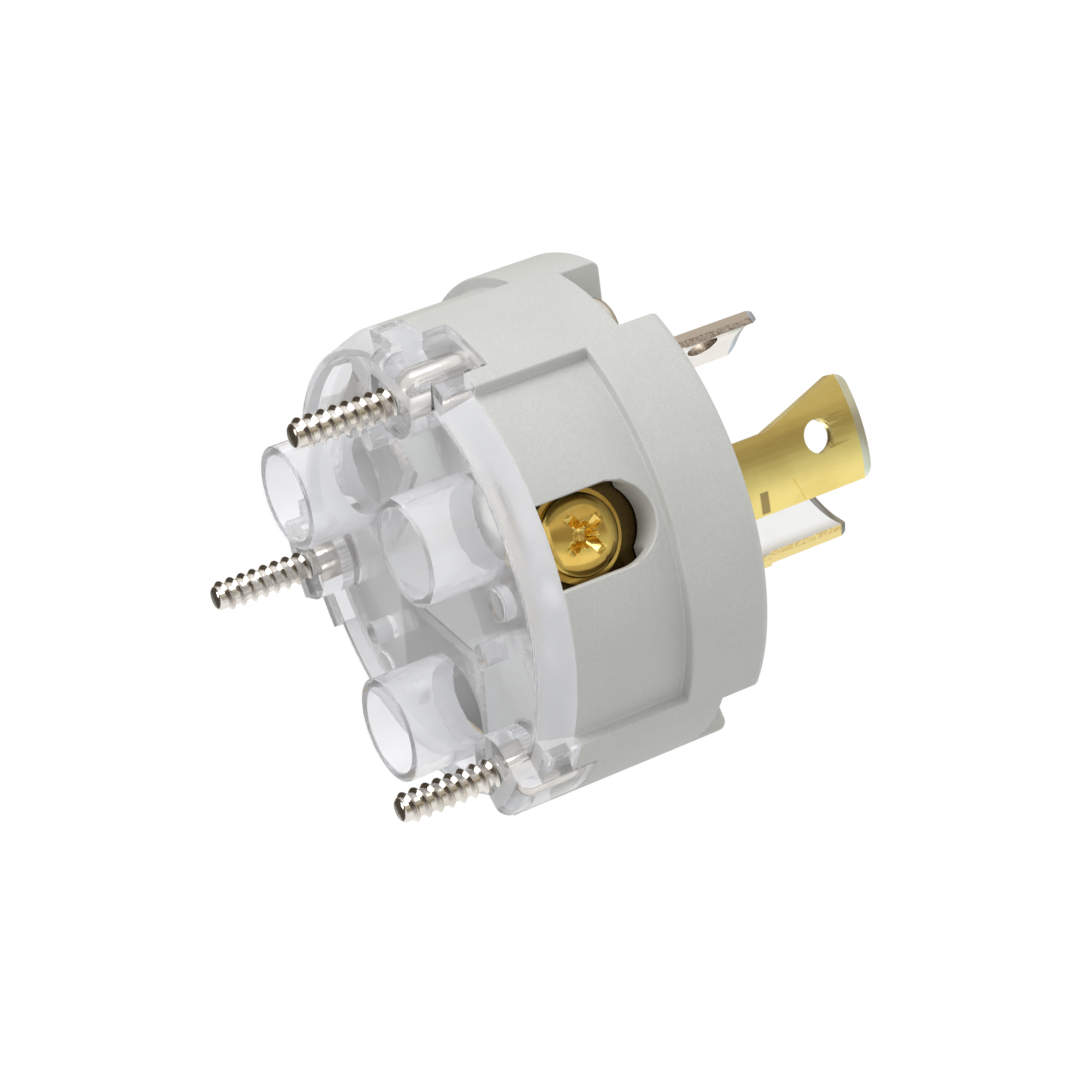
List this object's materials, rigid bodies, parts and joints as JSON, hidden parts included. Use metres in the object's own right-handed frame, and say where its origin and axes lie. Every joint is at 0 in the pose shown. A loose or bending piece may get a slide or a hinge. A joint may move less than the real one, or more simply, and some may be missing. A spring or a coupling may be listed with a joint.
{
  "type": "locking plug",
  "caption": "Interior of a grounded locking plug: grey flanged body with curved blades and screw terminals, clear rear cover with wire tubes, and long assembly screws.",
  "frame": {"origin": "on the plug's axis, in the plane of the assembly screws' tips", "axes": "+Z along the axis towards the blades; the hot pole lies on -Y"},
  "size_m": [0.047, 0.047, 0.058],
  "materials": {
    "grey_moulding": "fine matte moulded",
    "clear_moulding": "clear, slightly hazy",
    "brass_strip": "rolled and stamped",
    "nickel_strip": "plated strip",
    "nickel_brass_strip": "plated faces with bare stamped edges",
    "brass_screw": "bright plated",
    "nickel_screw": "bright plated",
    "green_screw": "painted head on a plated shank",
    "clamp_steel": "plated"
  },
  "bodies": {
    "root": {"body": "grey_moulding", "rear_cover": "clear_moulding", "hot_blade": "brass_strip", "hot_terminal_screw": "brass_screw", "hot_terminal_washer": "brass_screw", "hot_clamp_plate": "clamp_steel", "ground_blade": "nickel_brass_strip", "ground_terminal_screw": "green_screw", "ground_terminal_washer": "nickel_screw", "ground_clamp_plate": "clamp_steel", "neutral_blade": "nickel_strip", "neutral_terminal_screw": "nickel_screw", "neutral_terminal_washer": "nickel_screw", "neutral_clamp_plate": "clamp_steel", "assembly_screw_1": "nickel_screw", "assembly_screw_2": "nickel_screw", "assembly_screw_3": "nickel_screw"}
  },
  "joints": []
}
